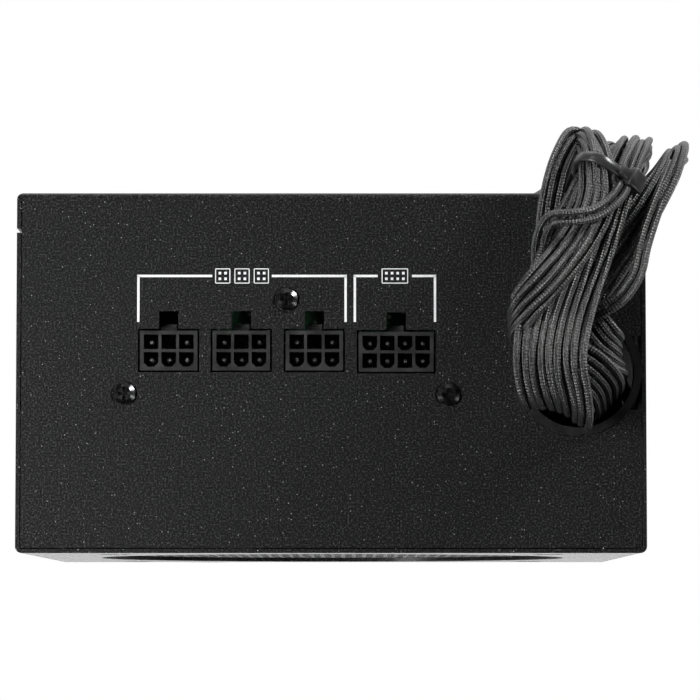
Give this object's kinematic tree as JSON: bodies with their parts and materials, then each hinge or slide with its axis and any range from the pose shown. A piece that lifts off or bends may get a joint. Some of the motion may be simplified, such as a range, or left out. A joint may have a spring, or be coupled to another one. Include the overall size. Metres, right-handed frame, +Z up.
{
  "type": "computer power supply unit",
  "caption": "Black semi-modular ATX power supply with a panel of cable sockets, three fixed sleeved cables, a fan below, a mains inlet and a rocker switch.",
  "frame": {"origin": "centre of the case's box at the level of its fan side, without the cables", "axes": "+X along the case's width to the right as seen facing the cable panel, +Y from the cable panel to the mains side, +Z up from the fan side"},
  "size_m": [0.1645, 0.2855, 0.1021],
  "materials": {
    "case_paint": "fine textured black powder coat",
    "black_screw": "black oxide",
    "black_nylon": "satin moulded nylon",
    "fan_plastic": "moulded black plastic",
    "bearing_brass": "turned",
    "copper_winding": "enamelled copper",
    "bright_steel": "zinc plated",
    "contact_metal": "tin plated",
    "circuit_board": "solder resist",
    "clear_film": "polycarbonate film",
    "socket_nylon": "moulded nylon",
    "capacitor_sleeve": "shrink sleeve",
    "transformer_tape": "yellow tape",
    "capacitor_yellow": "moulded box",
    "component_black": "epoxy",
    "fuse_ceramic": "ceramic",
    "heatsink_aluminium": "extruded",
    "wire_sleeve": "fine black braid over each wire",
    "tie_nylon": "nylon tie",
    "strap_fabric": "hook-and-loop strap",
    "plug_nylon": "moulded nylon"
  },
  "bodies": {
    "case": {"chassis_tray": "case_paint", "fan_cover": "case_paint", "fan_grille": "case_paint", "cover_screws": "black_screw", "panel_screws": "black_screw", "fan_screws": "black_screw", "cable_grommet": "black_nylon", "fan_frame": "fan_plastic", "fan_bearing": "bearing_brass", "fan_stator": "copper_winding", "ac_inlet": "black_nylon", "inlet_pins": "contact_metal", "switch_housing": "black_nylon", "main_board": "circuit_board", "board_standoffs": "bearing_brass", "board_screws": "bright_steel", "insulation_sheet": "clear_film", "modular_board": "circuit_board", "panel_spacers": "bearing_brass", "modular_board_screws": "bright_steel", "socket_1": "socket_nylon", "socket_2": "socket_nylon", "socket_3": "socket_nylon", "socket_4": "socket_nylon", "socket_pins": "contact_metal", "bulk_capacitor": "capacitor_sleeve", "main_transformer": "transformer_tape", "standby_transformer": "transformer_tape", "pfc_choke": "copper_winding", "line_choke": "copper_winding", "x_capacitors": "capacitor_yellow", "bridge_rectifier": "component_black", "line_fuse": "fuse_ceramic", "primary_heatsink": "heatsink_aluminium", "secondary_heatsink": "heatsink_aluminium", "power_transistors": "component_black", "output_chokes": "copper_winding", "output_capacitors": "capacitor_sleeve", "output_harness": "wire_sleeve", "fan_lead": "wire_sleeve", "ac_leads": "wire_sleeve", "atx_cable": "wire_sleeve", "cpu_cable": "wire_sleeve", "graphics_cable": "wire_sleeve", "cable_tie": "tie_nylon", "hank_strap": "strap_fabric", "atx_plug_20": "plug_nylon", "atx_plug_4": "plug_nylon", "cpu_plug_left": "plug_nylon", "cpu_plug_right": "plug_nylon", "graphics_plug_6": "plug_nylon", "graphics_plug_2": "plug_nylon"},
    "fan": {"fan_rotor": "fan_plastic", "fan_shaft": "bright_steel"},
    "rocker": {"switch_rocker": "black_nylon"}
  },
  "joints": [
    {"name": "fan_spin", "type": "hinge", "parent": "case", "child": "fan", "pos_m": [0, 0, 0.0145], "axis": [0, 0, 1], "continuous": true},
    {"name": "rocker_tilt", "type": "hinge", "parent": "case", "child": "rocker", "pos_m": [-0.054, 0.06529, 0.063], "axis": [0, 0, 1], "range_deg": [0, 20]}
  ]
}
